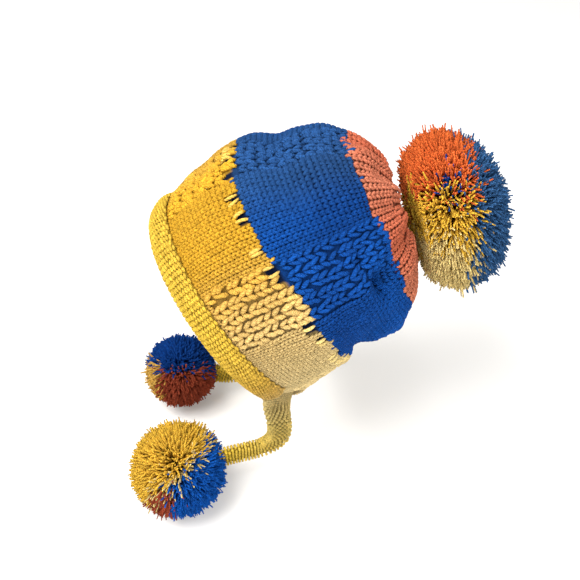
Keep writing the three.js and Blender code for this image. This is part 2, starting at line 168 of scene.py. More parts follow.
# Purl bumps of the brim, the flaps and the ties: steps across and along, length and radius, and lift
ROLL_BUMP_STEPS = (3.3, 4.7)
ROLL_BUMP_SIZE = (4.9, 1.5)
ROLL_BUMP_LIFT = -0.5
ROLL_HIDDEN_FROM = 0.83
ROLL_HIDDEN_TO = 0.97
STRAP_BUMP_STEPS = (4.2, 3.1)
STRAP_BUMP_SIZE = (2.7, 1.4)
STRAP_BUMP_LIFT = 0.5
STRAP_SAMPLES = 48
GROUND_DEPTH = -0.9
# Painted shade: the ground between the purl bumps is the yarn's colour times this share
PAINTED_GROUND_SHADE = 0.4

# The pompoms: sizes, the tilt of the crown's, how far under its middle it is seated, and strands
CROWN_POMPOM_RADIUS = 69.0
CROWN_POMPOM_HALF_THICKNESS = 47.0
CROWN_POMPOM_SEAT = 31.5
CROWN_POMPOM_TILT = 10.0
LEFT_POMPOM_RADIUS = 46.0
RIGHT_POMPOM_RADIUS = 38.0
CROWN_STRANDS = 7600
SIDE_STRANDS = 3500
STRAND_RINGS = 4
STRAND_SIDES = 3


def smooth(values, low, high):
    """An ease from 0 at low to 1 at high: three times the square less twice the cube of the share."""
    share = np.clip((values - low) / (high - low), 0, 1)
    return share * share * (3 - 2 * share)


def cubic_weights(share):
    """Weights of a cubic piece's first value, first slope, last value and last slope."""
    return (2 * share ** 3 - 3 * share ** 2 + 1, share ** 3 - 2 * share ** 2 + share,
            3 * share ** 2 - 2 * share ** 3, share ** 3 - share ** 2)


def table_column(table, column, along):
    """A smooth curve through a table's column: cubic pieces whose slopes are weighted by the gaps."""
    places = table[:, 0]
    values = table[:, column]
    gaps = np.diff(places)
    rises = np.diff(values) / gaps
    slopes = np.empty_like(values)
    slopes[0] = rises[0]
    slopes[-1] = rises[-1]
    slopes[1:-1] = (rises[:-1] * gaps[1:] + rises[1:] * gaps[:-1]) / (gaps[:-1] + gaps[1:])
    row = np.clip(np.searchsorted(places, along) - 1, 0, len(gaps) - 1)
    first, first_slope, last, last_slope = cubic_weights((along - places[row]) / gaps[row])
    start = first * values[row] + first_slope * gaps[row] * slopes[row]
    end = last * values[row + 1] + last_slope * gaps[row] * slopes[row + 1]
    return start + end


def plain_cap(around, along):
    """A leaning, egg-shaped ring at each place along the cap: its half lengths fore and aft differ."""
    back, up, lean, side, fore, aft = (table_column(SECTIONS, column, along) for column in range(1, 7))
    forward = smooth(np.cos(around), -1, 1)
    reach = HEAD_HALF_LENGTH * (aft + (fore - aft) * forward) * np.cos(around)
    tip = np.radians(lean)
    x = HEAD_HALF_WIDTH * side * np.sin(around)
    y = CROWN_DEPTH * back - reach * np.sin(tip)
    z = CROWN_DEPTH * up + reach * np.cos(tip)
    return np.stack([x, y, z], axis=-1)


def cap_outward(around, along):
    """The unit cross product of the steps across and along the cap, taken a little short of its end."""
    along = np.minimum(along, 0.99)
    step = 1e-3
    across_step = plain_cap(around + step, along) - plain_cap(around - step, along)
    along_step = plain_cap(around, along + step) - plain_cap(around, along - step)
    normal = np.cross(across_step, along_step)
    return normal / np.linalg.norm(normal, axis=-1, keepdims=True)


def soft_waves(around, along):
    """Slow uneven waves of loose knitting: sines of four slants, weakest at the brim."""
    waves = (np.sin(7 * around + 23 * along + 0.6) + 0.8 * np.sin(5 * around - 31 * along + 2.1)
             + 0.6 * np.sin(13 * around + 11 * along + 4.0) + 0.5 * np.sin(3 * around + 47 * along))
    return 0.75 * waves * smooth(along, 0.1, 0.3) * (1 - smooth(along, 0.9, 1))


def cap_relief(around, along):
    """Lace columns lie back, each fold is a bell-shaped dent, and the crown's gathers are a cosine."""
    degrees = np.degrees(around)
    rib_place = np.mod((degrees - FIRST_LACE_ANGLE) * RIB_COUNT / 360 + 0.5, 1) - 0.5
    lace_edge = LACE_SHARE_OF_RIB / 2
    in_lace = 1 - smooth(np.abs(rib_place), lace_edge * 0.6, lace_edge * 1.4)
    relief = -RIB_DEPTH * in_lace * smooth(along, 0.08, 0.2) * (1 - smooth(along, 0.75, 0.9))
    for fold_around, fold_along, turn, reach, depth in FOLDS + CREASES:
        off_turn = (np.mod(degrees - fold_around + 180, 360) - 180) / turn
        off_reach = (along - fold_along) / reach
        relief -= FOLD_DEPTH * depth * np.exp(-off_turn ** 2 - off_reach ** 2)
    relief = SOFT_SHARE * relief + soft_waves(around, along)
    gather = smooth(along, 0.72, 0.88) * (1 - smooth(along, 0.93, 1))
    return relief + GATHER_DEPTH * gather * np.cos(GATHER_COUNT * around)


def fabric(around, along, out):
    """A place on the cap's wall: the plain cap moved out along its normal by the relief and by out."""
    lift = cap_relief(around, along) + out
    return plain_cap(around, along) + cap_outward(around, along) * lift[..., None]


class KnitSurface:
    """A surface sampled on a grid that wraps around and runs along from a first to a last share.

    A place between the samples is their weighted mean, and out moves it along the normal, in millimetres.
    """

    def __init__(self, points, normals, first_along, last_along):
        self.points = np.concatenate([points, points[:1]])
        self.normals = np.concatenate([normals, normals[:1]])
        self.first = first_along
        self.last = last_along

    def at(self, around, along, out):
        turns = self.points.shape[0] - 1
        rows = self.points.shape[1] - 1
        column = np.mod(around, 1.0) * turns
        row = np.clip((along - self.first) / (self.last - self.first), 0, 1) * rows
        low_column = np.minimum(column.astype(int), turns - 1)
        low_row = np.minimum(row.astype(int), rows - 1)
        past_column = (column - low_column)[..., None]
        past_row = (row - low_row)[..., None]

        def between(grid):
            left = grid[low_column, low_row] * (1 - past_row) + grid[low_column, low_row + 1] * past_row
            right = (grid[low_column + 1, low_row] * (1 - past_row)
                     + grid[low_column + 1, low_row + 1] * past_row)
            return left * (1 - past_column) + right * past_column

        return between(self.points) + between(self.normals) * np.asarray(out)[..., None]


def grid_normals(points, sign):
    """Unit cross products of the steps around, which wrap, and along, which don't."""
    around_step = np.roll(points, -1, axis=0) - np.roll(points, 1, axis=0)
    along_step = np.gradient(points, axis=1)
    normal = np.cross(around_step, along_step) * sign
    return normal / np.maximum(np.linalg.norm(normal, axis=-1, keepdims=True), 1e-9)


def cap_surface():
    """The middle of the cap's wall: the plain cap moved out by its relief."""
    turns = 720
    rows = 440
    around, along = np.meshgrid(np.arange(turns) / turns * TURN, np.linspace(CAP_FIRST_ALONG, 1, rows + 1),
                                indexing="ij")
    normals = cap_outward(around, along)
    return KnitSurface(fabric(around, along, 0.0), normals, CAP_FIRST_ALONG, 1.0)


CAP = cap_surface()


def row_places():
    """The length of the cap's wall from the brim to each of 400 shares along it, as a mean over 24 sides."""
    around, along = np.meshgrid(np.arange(24) / 24, np.linspace(0, 1, 400), indexing="ij")
    grid = CAP.at(around, along, 0 * along)
    lengths = np.linalg.norm(np.diff(grid, axis=1), axis=-1).mean(axis=0)
    return np.concatenate([[0], np.cumsum(lengths)]), along[0]


ROW_LENGTHS, ROW_ALONGS = row_places()
ROWS = int(ROW_LENGTHS[-1] / ROW_HEIGHT)


def along_of_length(length):
    """The share along the cap at a length of knitting from the brim."""
    return np.interp(length, ROW_LENGTHS, ROW_ALONGS)


def linear(red, green, blue):
    """A screen colour of 0 to 255 as linear light: the power 2.2 of its share."""
    return np.array([red, green, blue]) ** 2.2 / 255 ** 2.2


GOLD = linear(218, 165, 50)
STRAW = linear(204, 159, 76)
CREAM = linear(224, 198, 140)
ROYAL = linear(22, 80, 160)
NAVY = linear(18, 58, 122)
DENIM = linear(50, 84, 124)
RUST = linear(212, 112, 82)
CORAL = linear(218, 130, 100)
ORANGE = linear(206, 98, 50)
PALE_YELLOW = linear(214, 188, 122)
CANARY = linear(214, 168, 60)
BRICK = linear(138, 64, 44)
LEMON = linear(240, 198, 74)
GOLDEN = linear(250, 208, 66)
PALE_STRAW = linear(236, 208, 122)
# Painted shadow: the dark blue-black seen through the gaps under the blue band
PAINTED_GAP_SHADOW = linear(16, 26, 48)


def blended(first, second, share):
    """A straight mix of two colours, row by row."""
    return first * (1 - share[..., None]) + second * share[..., None]


def uneven(chance):
    """How bright a length of yarn is, 0.86 to 1.14, from a chance of 0 to 1."""
    return (0.86 + 0.28 * chance)[..., None]


def degrees_from_front(around):
    """Degrees from the forehead, -180 to 180, of a share of a turn."""
    return np.mod(around * 360 + 180, 360) - 180


def border_wave(around):
    """How far a band's edge strays along the cap: two sines round it."""
    degrees = degrees_from_front(around)
    return 0.010 * np.sin(np.radians(3 * degrees + 40)) + 0.006 * np.sin(np.radians(11 * degrees))


def cap_colour(around, along, chance):
    """Colours of the self-striping yarn: three bands that end on a wavy row, each with its own change, and a
    painted highlight of lighter blue on the cap's top near the front.
    """
    degrees = degrees_from_front(around)
    wave = border_wave(around)
    from_front = smooth(np.abs(degrees - 5), 30, 110)
    gold = blended(GOLD, STRAW, smooth(np.abs(degrees - 15), 15, 60))
    yellow = blended(gold, CREAM, from_front)
    deep = 0.5 + 0.5 * np.sin(np.radians(2.3 * degrees) + 9 * along)
    blue = blended(ROYAL, NAVY, 0.55 * deep)
    # Painted highlight: near the front, on the cap's top where it faces the light, the blue is mixed towards
    # a lighter, greyer denim
    blue = blended(blue, DENIM, 0.65 * (1 - smooth(np.abs(degrees + 8), 18, 48)))
    rust = blended(RUST, CORAL, 0.5 + 0.5 * np.sin(np.radians(4 * degrees)))
    colour = np.where((along + wave < YELLOW_ENDS)[..., None], yellow, blue)
    colour = np.where((along + 1.3 * wave > BLUE_ENDS)[..., None], rust, colour)
    return colour * uneven(chance)


def unit(vectors):
    """Each vector over its own length."""
    return vectors / np.maximum(np.linalg.norm(vectors, axis=-1, keepdims=True), 1e-9)


def tube_faces(count, rings, sides):
    """Faces of closed tubes whose corners are numbered by tube, ring and side: quads, then the end caps."""
    index = np.arange(count * rings * sides).reshape(count, rings, sides)
    following = np.roll(index, -1, axis=2)
    quads = np.stack([index[:, :-1], index[:, 1:], following[:, 1:], following[:, :-1]], axis=-1)
    return [quads.reshape(-1, 4), np.concatenate([index[:, 0], index[:, -1, ::-1]])]


def tube_uvs(count, rings, sides):
    """Places on the tubes in the order of their faces' corners: the first runs along, the second round."""
    run, turned = np.meshgrid(np.arange(rings - 1) / (rings - 1), np.arange(sides) / sides, indexing="ij")
    low = np.stack([run, turned], axis=-1)
    along = np.array([1 / (rings - 1), 0])
    round_it = np.array([0, 1 / sides])
    quads = np.stack([low, low + along, low + along + round_it, low + round_it], axis=-2).reshape(-1, 2)
    return np.concatenate([np.tile(quads, (count, 1)), np.zeros((2 * count * sides, 2))])


def tube_corners(centres, outward, radii, sides):
    """Rings of corners round each tube's centres, square to the tube, with one axis towards outward."""
    ahead = unit(np.gradient(centres, axis=1))
    across = unit(np.cross(ahead, outward))
    lifted = np.cross(across, ahead)
    angles = np.arange(sides) / sides * TURN
    circle = (np.cos(angles)[:, None] * across[..., None, :]
              + np.sin(angles)[:, None] * lifted[..., None, :])
    return centres[..., None, :] + circle * radii[..., None, None]


def make_piece(name, corners, faces, material, colours, uvs=None):
    """A smooth mesh: corners in millimetres, arrays of faces of one width each, and a colour a corner."""
    corners = corners.reshape(-1, 3) * MM
    mesh = bpy.data.meshes.new(name)
    mesh.vertices.add(len(corners))
    mesh.vertices.foreach_set("co", corners.astype(np.float32).ravel())
    loops = np.concatenate([part.ravel() for part in faces])
    totals = np.concatenate([np.full(len(part), part.shape[1]) for part in faces])
    mesh.loops.add(len(loops))
    mesh.loops.foreach_set("vertex_index", loops.astype(np.int32))
    mesh.polygons.add(len(totals))
    starts = np.concatenate([[0], np.cumsum(totals)[:-1]])
    mesh.polygons.foreach_set("loop_start", starts.astype(np.int32))
    mesh.polygons.foreach_set("use_smooth", np.ones(len(totals), bool))
    mesh.update(calc_edges=True)
    attribute = mesh.color_attributes.new("yarn", "FLOAT_COLOR", "POINT")
    rgba = np.ones((len(corners), 4), np.float32)
    rgba[:, :3] = colours.reshape(-1, 3)
    attribute.data.foreach_set("color", rgba.ravel())
    if uvs is not None:
        mesh.uv_layers.new(name="ply").data.foreach_set("uv", uvs.astype(np.float32).ravel())
    mesh.materials.append(material)
    piece = bpy.data.objects.new(name, mesh)
    bpy.context.scene.collection.objects.link(piece)
    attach(piece, "root")
    return piece


def yarn_material(name, fuzz, twist):
    """Matt wool: its colour from the yarn attribute with specks, a sheen, and a ply twist as bump."""
    material = bpy.data.materials.new(name)
    material.use_nodes = True
    nodes = material.node_tree.nodes
    links = material.node_tree.links
    shader = nodes["Principled BSDF"]
    shader.inputs["Roughness"].default_value = 0.92
    shader.inputs["Specular IOR Level"].default_value = 0.1
    shader.inputs["Sheen Weight"].default_value = fuzz
    shader.inputs["Sheen Roughness"].default_value = 0.5
    yarn = nodes.new("ShaderNodeAttribute")
    yarn.attribute_name = "yarn"
    place = nodes.new("ShaderNodeTexCoord")
    heather = nodes.new("ShaderNodeTexNoise")
    heather.inputs["Scale"].default_value = 900
    heather.inputs["Detail"].default_value = 3
    links.new(place.outputs["Object"], heather.inputs["Vector"])
    spread = nodes.new("ShaderNodeMapRange")
    spread.inputs["From Min"].default_value = 0.3
    spread.inputs["From Max"].default_value = 0.7
    spread.inputs["To Min"].default_value = 0.72
    spread.inputs["To Max"].default_value = 1.28
    links.new(heather.outputs["Fac"], spread.inputs["Value"])
    tinted = nodes.new("ShaderNodeVectorMath")
    tinted.operation = "SCALE"
    links.new(yarn.outputs["Color"], tinted.inputs[0])
    links.new(spread.outputs["Result"], tinted.inputs["Scale"])
    links.new(tinted.outputs["Vector"], shader.inputs["Base Color"])
    links.new(tinted.outputs["Vector"], shader.inputs["Sheen Tint"])
    ply = nodes.new("ShaderNodeUVMap")
    ply.uv_map = "ply"
    parts = nodes.new("ShaderNodeSeparateXYZ")
    links.new(ply.outputs["UV"], parts.inputs["Vector"])
    turned = nodes.new("ShaderNodeMath")
    turned.operation = "MULTIPLY_ADD"
    turned.inputs[1].default_value = twist
    links.new(parts.outputs["X"], turned.inputs[0])
    links.new(parts.outputs["Y"], turned.inputs[2])
    wave = nodes.new("ShaderNodeMath")
    wave.operation = "SINE"
    scaled = nodes.new("ShaderNodeMath")
    scaled.operation = "MULTIPLY"
    scaled.inputs[1].default_value = 3 * TURN
    links.new(turned.outputs["Value"], scaled.inputs[0])
    links.new(scaled.outputs["Value"], wave.inputs[0])
    fibres = nodes.new("ShaderNodeTexNoise")
    fibres.inputs["Scale"].default_value = 2600
    links.new(place.outputs["Object"], fibres.inputs["Vector"])
    height = nodes.new("ShaderNodeMath")
    height.operation = "MULTIPLY_ADD"
    height.inputs[1].default_value = 0.6
    links.new(wave.outputs["Value"], height.inputs[0])
    links.new(fibres.outputs["Fac"], height.inputs[2])
    bump = nodes.new("ShaderNodeBump")
    bump.inputs["Strength"].default_value = 1.0
    bump.inputs["Distance"].default_value = 0.0009
    links.new(height.outputs["Value"], bump.inputs["Height"])
    links.new(bump.outputs["Normal"], shader.inputs["Normal"])
    return material


KNIT = yarn_material("knit_yarn", 0.35, 1.5)
FLUFF = yarn_material("pompom_yarn", 0.5, 4.0)


def shell_faces(turns, rows):
    """Quads of a grid of corners that wraps around and is open at its first and last row."""
    index = np.arange(turns * rows).reshape(turns, rows)
    following = np.roll(index, -1, axis=0)
    quads = np.stack([index[:, :-1], following[:, :-1], following[:, 1:], index[:, 1:]], axis=-1)
    return quads.reshape(-1, 4)


def backing(name, surface, node, out, turns, rows, colour_at):
    """A knitted ground under the stitches, which its callers colour dark as painted shade between the
    stitches: the surface moved out, closed at both ends on its middle.
    """
    around, along = np.meshgrid(np.arange(turns) / turns, np.linspace(surface.first, surface.last, rows),
                                indexing="ij")
    points = surface.at(around, along, np.full(around.shape, out))
    start = points[:, 0].mean(axis=0)
    end = points[:, -1].mean(axis=0)
    corners = np.concatenate([points.reshape(-1, 3), [start, end]])
    index = np.arange(turns * rows).reshape(turns, rows)
    following = np.roll(index, -1, axis=0)
    low = np.stack([following[:, 0], index[:, 0], np.full(turns, turns * rows)], axis=-1)
    high = np.stack([index[:, -1], following[:, -1], np.full(turns, turns * rows + 1)], axis=-1)
    colours = np.concatenate([colour_at(around, along).reshape(-1, 3), np.zeros((2, 3))])
    colours[-2] = colours[0]
    colours[-1] = colours[-3]
    piece = make_piece(name, corners, [shell_faces(turns, rows), np.concatenate([low, high])], KNIT, colours)
    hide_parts(node)
    return piece


def looped_yarn(name, surface, node, paths, radii, colours, sides):
    """Tubes of yarn laid over a surface: paths holds around, along and out for each ring of each tube."""
    around, along, out = paths
    centres = surface.at(around, along, out)
    outward = unit(surface.at(around, along, out + 1.0) - centres)
    corners = tube_corners(centres, outward, radii, sides)
    count, rings = radii.shape
    shades = np.broadcast_to(colours[:, None, None, :], (count, rings, sides, 3))
    piece = make_piece(name, corners, tube_faces(count, rings, sides), KNIT, shades,
                       tube_uvs(count, rings, sides))
    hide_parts(node)
    return piece


def share_lengths(surface, around, along):
    """Millimetres to a whole share around and to a whole share along, at each place, by short steps."""
    step = 1e-3
    here = surface.at(around, along, 0 * around)
    aside = surface.at(around + step, along, 0 * around) - here
    ahead = surface.at(around, along - step, 0 * around) - here
    return np.linalg.norm(aside, axis=-1) / step, np.linalg.norm(ahead, axis=-1) / step


def swelling(hump):
    """How full a length of yarn is: 0.55 at its ends and 1 in its middle."""
    return 0.55 + 0.45 * hump ** 0.6


def knit_legs(surface, around, along, pitch, row, radius, lift, rng):
    """Both legs of each V: a leg leans out from the foot of its wale and ends under the next row.

    Sideways it starts at 0.06 of the pitch and moves 0.30 of it more on an ease, and it runs from 0.2 rows
    under its place to 1.1 rows over it. It stands over the surface by lift and a half sine of its radius.
    """
    share = np.linspace(0, 1, 4)
    ease = share * share * (3 - 2 * share)
    hump = np.sin(math.pi * share)
    wide, high = share_lengths(surface, around, along)
    side = np.repeat([-1.0, 1.0], len(around))
    around, along, wide, high = (np.tile(values, 2) for values in (around, along, wide, high))
    pitch, row, radius = (np.tile(values, 2) for values in (pitch, row, radius))
    jitter = 1 + 0.06 * rng.standard_normal((3, len(around)))
    aside = side[:, None] * (0.06 + 0.30 * ease) * pitch[:, None] * jitter[0][:, None] / wide[:, None]
    ahead = (-0.2 + 1.3 * share) * row[:, None] / high[:, None] * jitter[1][:, None]
    out = lift + 0.75 * radius[:, None] * hump
    radii = radius[:, None] * swelling(hump) * jitter[2][:, None]
    stitch = np.tile(np.arange(len(side) // 2), 2)
    return (around[:, None] + aside, along[:, None] + ahead, out), radii, stitch


def hole_phase(around):
    """Where a place is from one gap's start to the next's, 0 to 1: the gaps are spaced a little unevenly."""
    return np.mod(around * HOLE_COUNT + 0.16 * np.sin(17 * TURN * around), 1)


def in_hole(around, along):
    """True in the row of gaps under the blue band."""
    off = along + border_wave(around) - YELLOW_ENDS
    return (hole_phase(around) < HOLE_SHARE) & (off > HOLE_FOOT) & (off < HOLE_TOP)


def lace_place(around):
    """How far a place is from the middle of its lace column, as a share of a rib."""
    return np.abs(np.mod((around * 360 - FIRST_LACE_ANGLE) * RIB_COUNT / 360 + 0.5, 1) - 0.5)


def wales_at(along):
    """How many wales a row has: half as many in the rust band and a quarter at its end."""
    if along < BLUE_ENDS:
        return WALES
    return WALES // 2 + 1 if along < HALF_WALES_END else WALES // 4


def cap_places():
    """Places of the plain stitches and their row's wales: none in the lace columns or the gaps."""
    arounds = []
    alongs = []
    counts = []
    for row in range(ROWS):
        along = along_of_length((row + 0.5) * ROW_HEIGHT)
        if along > LAST_ROW_SHARE:
            continue
        count = wales_at(along)
        arounds.append((np.arange(count) + 0.5) / count)
        alongs.append(np.full(count, along))
        counts.append(np.full(count, count))
    around, along, count = (np.concatenate(parts) for parts in (arounds, alongs, counts))
    plain = (lace_place(around) > LACE_SHARE_OF_RIB / 2) | (along > BLUE_ENDS) | (along < LACE_STARTS)
    plain &= ~in_hole(around, along)
    return around[plain], along[plain], count[plain]


def cover_ground():
    """The cap's wall under its stitches, in painted shade: dark outside between the stitches, a darker
    painted shadow in the gaps, and lighter inside.
    """
    turns = 270
    rows = 80
    around, along = np.meshgrid(np.arange(turns) / turns, np.linspace(0, 1, rows), indexing="ij")
    outer = CAP.at(around, along, np.full(around.shape, 0.9))
    inner = CAP.at(around, along, np.full(around.shape, -FABRIC_THICKNESS / 2))[:, ::-1]
    points = np.concatenate([inner, outer], axis=1)
    colour = cap_colour(around, along, np.full(around.shape, 0.5))
    # Painted shade: outside, the ground is the yarn's colour darkened as shade between the stitches, and the
    # gaps get a painted shadow; the inner face is a lighter copy of that shade
    dark = np.where(in_hole(around, along)[..., None], PAINTED_GAP_SHADOW, colour * 0.42)
    colours = np.concatenate([dark[:, ::-1] * 1.6, dark], axis=1)
    piece = make_piece("cap_ground", points, [shell_faces(turns, 2 * rows)], KNIT, colours)
    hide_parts("crown_body")


def cover_inside():
    """The wrong side of the knitting: a shell inside the cap's wall with rounded bumps in rows, its colour
    darkened in the dips between the bumps as painted shade.
    """
    turns = 300
    rows = 150
    around, along = np.meshgrid(np.arange(turns) / turns, np.linspace(0.004, 0.99, rows), indexing="ij")
    purls = np.cos(TURN * INSIDE_WALES * around) * np.cos(TURN * INSIDE_ROWS * along)
    inside = CAP.at(around, along, -FABRIC_THICKNESS / 2 - 0.7 - 0.55 * purls)
    # Painted shade: the colour is lighter on the tops of the bumps and darker in the dips between them
    colours = cap_colour(around, along, 0.5 + 0.3 * purls) * (0.8 + 0.2 * purls)[..., None]
    faces = shell_faces(turns, rows)[:, ::-1]
    piece = make_piece("cap_inside", inside, [faces], KNIT, colours)
    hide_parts("crown_body")


def cover_stitches():
    """The cap's plain stitches, in three pieces by the band they are in."""
    rng = np.random.default_rng(SEED)
    around, along, count = cap_places()
    pitch = share_lengths(CAP, around, along)[0] / count
    row = np.full(len(around), ROW_HEIGHT)
    radius = np.minimum(YARN_RADIUS, 0.31 * pitch)
    paths, radii, stitch = knit_legs(CAP, around, along, pitch, row, radius, STITCH_LIFT, rng)
    chance = rng.random(len(stitch))
    shades = cap_colour(around[stitch], along[stitch] + 0.004 * rng.standard_normal(len(stitch)), chance)
    bands = [("yellow_stitches", "yellow_knit", along[stitch] < YELLOW_ENDS),
             ("blue_stitches", "blue_knit", (along[stitch] >= YELLOW_ENDS) & (along[stitch] < BLUE_ENDS)),
             ("rust_stitches", "rust_knit", along[stitch] >= BLUE_ENDS)]
    for name, slot, chosen in bands:
        looped_yarn(name, CAP, "crown_body", [values[chosen] for values in paths], radii[chosen],
                    shades[chosen], STITCH_SIDES)


def cover_lace():
    """Lace columns: puffy loops in herringbone pairs, each of its own size and a little out of place."""
    rng = np.random.default_rng(SEED + 1)
    levels = along_of_length(np.arange(0.5, ROW_LENGTHS[-1] / LACE_LOOP_HEIGHT) * LACE_LOOP_HEIGHT)
    levels = levels[(levels > LACE_STARTS) & (levels < BLUE_ENDS)]
    column = np.arange(RIB_COUNT)[:, None, None]
    pair = np.arange(LACE_PAIRS)[None, :, None]
    share = LACE_SHARE_OF_RIB / RIB_COUNT
    around = FIRST_LACE_ANGLE / 360 + column / RIB_COUNT + ((pair + 0.5) / LACE_PAIRS - 0.5) * share
    around, along = np.broadcast_arrays(around, levels[None, None, :])
    around = around.ravel()
    along = along.ravel()
    wide, high = share_lengths(CAP, around, along)
    pitch = wide * share / LACE_PAIRS
    kept = ~in_hole(around, along)
    count = kept.sum()
    around = around[kept] + 0.07 * pitch[kept] / wide[kept] * rng.standard_normal(count)
    along = along[kept] + 0.1 * LACE_LOOP_HEIGHT / high[kept] * rng.standard_normal(count)
    pitch = pitch[kept] * (1.1 + 0.12 * rng.standard_normal(count))
    yellow = along < YELLOW_ENDS
    row = LACE_LOOP_HEIGHT * (1 + 0.12 * rng.standard_normal(count))
    radius = np.minimum(0.215 * pitch, 2.3) * np.where(yellow, 1.0, 0.86)
    lift = 1.3 + 0.5 * rng.random(2 * count)[:, None]
    paths, radii, stitch = knit_legs(CAP, around, along, pitch, row, radius, lift, rng)
    chance = rng.random(len(stitch))
    shades = cap_colour(around[stitch], along[stitch] + 0.008 * rng.standard_normal(len(stitch)), chance)
    looped_yarn("lace_loops", CAP, "crown_body", paths, radii, shades * 1.05, LOOP_SIDES)


def cover_gaps():
    """Over each gap under the blue band stand two long loose loops of yellow yarn, side by side."""
    rng = np.random.default_rng(SEED + 2)
    turn = np.linspace(0, 1, 4000, endpoint=False)
    starts = turn[np.flatnonzero(np.diff(hole_phase(turn)) < -0.5) + 1]
    across = np.array([0.12, 0.66]) * HOLE_SHARE / HOLE_COUNT
    around = (starts[:, None] + across[None, :]).ravel()
    around += 0.0012 * rng.standard_normal(len(around))
    along = YELLOW_ENDS - border_wave(around) + HOLE_FOOT * 0.5
    wide, high = share_lengths(CAP, around, along)
    share = np.linspace(0, 1, 6)
    hump = np.sin(math.pi * share)
    slant = 1.1 * rng.standard_normal((len(around), 1))
    length = 11.5 + 1.5 * rng.standard_normal((len(around), 1))
    bow = 0.9 * rng.standard_normal((len(around), 1))
    aside = (slant * (share - 0.5) + bow * hump) / wide[:, None]
    ahead = length * (share - 0.5) / high[:, None]
    out = 1.3 + 2.8 * hump + 0 * aside
    radii = 1.5 * swelling(hump) * (0.85 + 0.3 * rng.random((len(around), 1)))
    chance = 0.8 + 0.3 * rng.random(len(around))
    yellow = cap_colour(around, np.full(len(around), 0.2), chance)
    shades = blended(yellow, PALE_STRAW, np.full(len(around), 0.4)) * 1.1
    looped_yarn("border_loops", CAP, "crown_body",
                [around[:, None] + aside, along[:, None] + ahead, out], radii, shades, LOOP_SIDES)


def closed_curve(corners, samples):
    """A smooth closed curve through corners: cubic pieces whose slopes join the corners on each side."""
    corners = np.asarray(corners, float)
    place = np.arange(samples) / samples * len(corners)
    index = place.astype(int)
    t = (place - index)[:, None]
    at = [corners[(index + k) % len(corners)] for k in (-1, 0, 1, 2)]
    return 0.5 * (2 * at[1] + (at[2] - at[0]) * t + (2 * at[0] - 5 * at[1] + 4 * at[2] - at[3]) * t ** 2
                  + (3 * at[1] - at[0] - 3 * at[2] + at[3]) * t ** 3)


def outward_surface(points, first_along, last_along):
    """A surface from a grid of points, with its normals turned away from the middle of each row."""
    normals = grid_normals(points, 1.0)
    away = np.sum(normals * (points - points.mean(axis=0, keepdims=True)), axis=-1)
    return KnitSurface(points, normals * np.sign(away.mean()), first_along, last_along)


def roll_surface(start_degrees, end_degrees):
    """The rolled brim between two angles: its rounded section at each angle, over the cap's outer face."""
    section = closed_curve(ROLL_SECTION, 64)
    angles = np.radians(np.linspace(start_degrees, end_degrees, 260))
    around, up = np.meshgrid(angles, section[:, 0] * ROLL_WIDTH / CROWN_DEPTH)
    out = np.broadcast_to((FABRIC_THICKNESS / 2 + section[:, 1] * ROLL_THICKNESS)[:, None], around.shape)
    return outward_surface(fabric(around, up, out), start_degrees / 360, end_degrees / 360)


def strap_section(turns):
    """Places across and through a strap, -1 to 1: it is thick at its curled edges and thin between."""
    angle = np.arange(turns) / turns * TURN
    across = np.cos(angle)
    fullness = 0.55 + 0.45 * across ** 2
    through = np.sign(np.sin(angle)) * np.sqrt(np.abs(np.sin(angle))) * fullness
    return across, through


def flap_tip(side):
    """The flap's lowest point, placed by shares of the head's sizes and of the flap's length."""
    middle = np.radians((FLAP_FRONT_ANGLE + FLAP_BACK_ANGLE) / 2)
    root = plain_cap(np.array(middle), np.array(0.0))
    return np.array([side * HEAD_HALF_WIDTH * FLAP_TIP_SIDE, HEAD_HALF_LENGTH * FLAP_TIP_BEHIND,
                     root[2] - FLAP_LENGTH * FLAP_TIP_BELOW])


def flap_surface(side):
    """An ear flap: its section slides from the brim's line to the tip's on an ease, with curled edges."""
    across, through = strap_section(STRAP_SAMPLES)
    around = np.radians(FLAP_BACK_ANGLE + (FLAP_FRONT_ANGLE - FLAP_BACK_ANGLE) * (across + 1) / 2)
    face = FABRIC_THICKNESS / 2
    outer = face + ROLL_THICKNESS * 0.75 * np.abs(across) ** 3
    out = np.where(through > 0, outer * through, face * through)
    top = fabric(around, 0 * around, out)
    below = fabric(around, 0 * around - FLAP_LENGTH / CROWN_DEPTH, out) - top
    mirror = np.array([side, 1, 1])
    bottom = flap_tip(side) + np.stack([side * through * TIE_THICKNESS / 2, -across * TIE_WIDTH / 2,
                                        0 * across], axis=-1)
    place = np.linspace(0, 1, 40)[None, :, None]
    ease = place * place * (3 - 2 * place)
    from_top = (top * mirror)[:, None] + (below * mirror)[:, None] * place * 0.5
    rise = np.array([0, 0, FLAP_LENGTH * 0.6]) * (1 - place)
    points = from_top * (1 - ease) + (bottom[:, None] + rise) * ease
    return outward_surface(points, 0.0, 1.0)


def rope_route(route):
    """A centripetal curve through the route's points, as 200 places at equal steps of length.

    Each piece is a cubic whose slopes come from its neighbours, weighted by the square roots of the gaps.
    """
    points = np.concatenate([[2 * route[0] - route[1]], route, [2 * route[-1] - route[-2]]])
    gaps = np.sum(np.diff(points, axis=0) ** 2, axis=1) ** 0.25
    pieces = []
    first, first_slope, last, last_slope = cubic_weights(np.linspace(0, 1, 60)[:, None])
    for i in range(len(route) - 1):
        a, b, c, d = points[i:i + 4]
        before, here, after = gaps[i:i + 3]
        start = ((b - a) / before - (c - a) / (before + here) + (c - b) / here) * here
        end = ((c - b) / here - (d - b) / (here + after) + (d - c) / after) * here
        pieces.append(first * b + first_slope * start + last * c + last_slope * end)
    path = np.concatenate(pieces)
    length = np.concatenate([[0], np.cumsum(np.linalg.norm(np.diff(path, axis=0), axis=1))])
    even = np.linspace(0, length[-1], 200)
    return np.stack([np.interp(even, length, path[:, axis]) for axis in range(3)], axis=-1)


